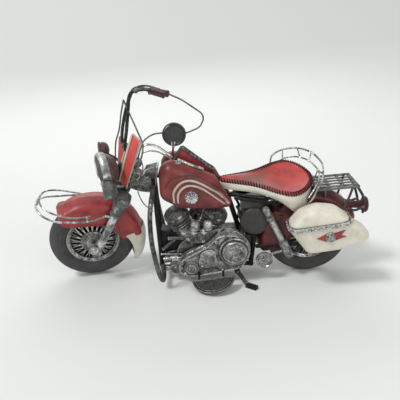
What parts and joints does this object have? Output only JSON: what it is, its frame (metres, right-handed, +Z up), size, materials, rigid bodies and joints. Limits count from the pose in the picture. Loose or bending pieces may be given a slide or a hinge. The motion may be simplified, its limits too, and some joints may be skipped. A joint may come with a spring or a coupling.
{
  "type": "tin toy motorcycle",
  "caption": "Hand-made tin model touring motorcycle with screen, saddlebags and rack, leaning on its side stand, with turning fork, rolling wheels and swinging stand.",
  "frame": {"origin": "centre of the footprint of the bounding box, on the floor the model stands on", "axes": "+X towards the rear of the machine along its length, -Y to its left side, where the side stand is, +Z up"},
  "size_m": [0.3122, 0.1102, 0.1871],
  "materials": {
    "aged_silver": "dark wash with silver dry-brushed high spots",
    "bright_silver": "bright, lightly tarnished",
    "dark_red_paint": "satin, darkened at the edges",
    "red_paint": "satin, darkened at the edges",
    "coral_paint": "satin",
    "cream_paint": "satin with light grime",
    "tyre_rubber": "matt",
    "black_paint": "satin, silver worn edges",
    "brown_red_paint": "speckled satin"
  },
  "bodies": {
    "chassis": {"steering_head": "aged_silver", "frame_backbone": "black_paint", "frame_cradle": "black_paint", "swing_arm": "black_paint", "crankcase": "aged_silver", "cylinder_front": "aged_silver", "cylinder_rear": "aged_silver", "chrome_domes": "bright_silver", "side_plate": "aged_silver", "primary_cover": "aged_silver", "primary_caps": "aged_silver", "cover_screws": "aged_silver", "tank_left": "dark_red_paint", "tank_right": "dark_red_paint", "tank_console": "aged_silver", "fuel_caps": "bright_silver", "tank_badges": "bright_silver", "round_mirror": "black_paint", "tank_wires": "black_paint", "seat_skirt": "cream_paint", "seat_cushion": "coral_paint", "grab_rail": "aged_silver", "rear_fender": "dark_red_paint", "luggage_rack": "aged_silver", "tail_lamp": "brown_red_paint", "saddlebag_left": "cream_paint", "saddlebag_lid_left": "cream_paint", "saddlebag_right": "cream_paint", "saddlebag_lid_right": "cream_paint", "saddlebag_trim": "bright_silver", "rear_shocks": "aged_silver", "oil_tank": "black_paint", "exhaust": "aged_silver", "air_cleaner": "aged_silver", "engine_guards": "aged_silver", "footboards": "black_paint", "passenger_pegs": "black_paint", "rear_axle": "aged_silver"},
    "side_stand": {"side_stand": "black_paint"},
    "fork": {"fork_legs": "aged_silver", "fork_crown": "aged_silver", "handlebar": "black_paint", "grips": "brown_red_paint", "headlamp": "brown_red_paint", "headlamp_lens": "bright_silver", "passing_lamps": "brown_red_paint", "screen_frame": "aged_silver", "screen_panels": "coral_paint", "front_fender": "red_paint", "mudflap": "cream_paint", "fender_rails": "black_paint", "throttle_cable": "black_paint", "front_axle": "aged_silver"},
    "front_wheel": {"front_tyre": "tyre_rubber", "front_rim": "aged_silver", "front_hub": "aged_silver", "front_spokes": "aged_silver"},
    "rear_wheel": {"rear_tyre": "tyre_rubber", "rear_rim": "aged_silver", "rear_wheel_hub": "aged_silver"}
  },
  "joints": [
    {"name": "steering", "type": "hinge", "parent": "chassis", "child": "fork", "pos_m": [-0.10336, -0.00154, 0.03986], "axis": [0.4695, -0.0846, 0.8789], "range_deg": [-40, 12], "deforming": ["throttle_cable"]},
    {"name": "front_wheel_spin", "type": "hinge", "parent": "fork", "child": "front_wheel", "pos_m": [-0.11074, -0.00362, 0.04119], "axis": [-0.2285, 0.9498, 0.2135], "continuous": true},
    {"name": "rear_wheel_spin", "type": "hinge", "parent": "chassis", "child": "rear_wheel", "pos_m": [0.10034, -0.00159, 0.04036], "axis": [0, 0.9954, 0.0958], "continuous": true},
    {"name": "side_stand_swing", "type": "hinge", "parent": "chassis", "child": "side_stand", "pos_m": [0.03064, -0.01978, 0.01017], "axis": [0, 0.9954, 0.0958], "range_deg": [-60, 0]}
  ]
}
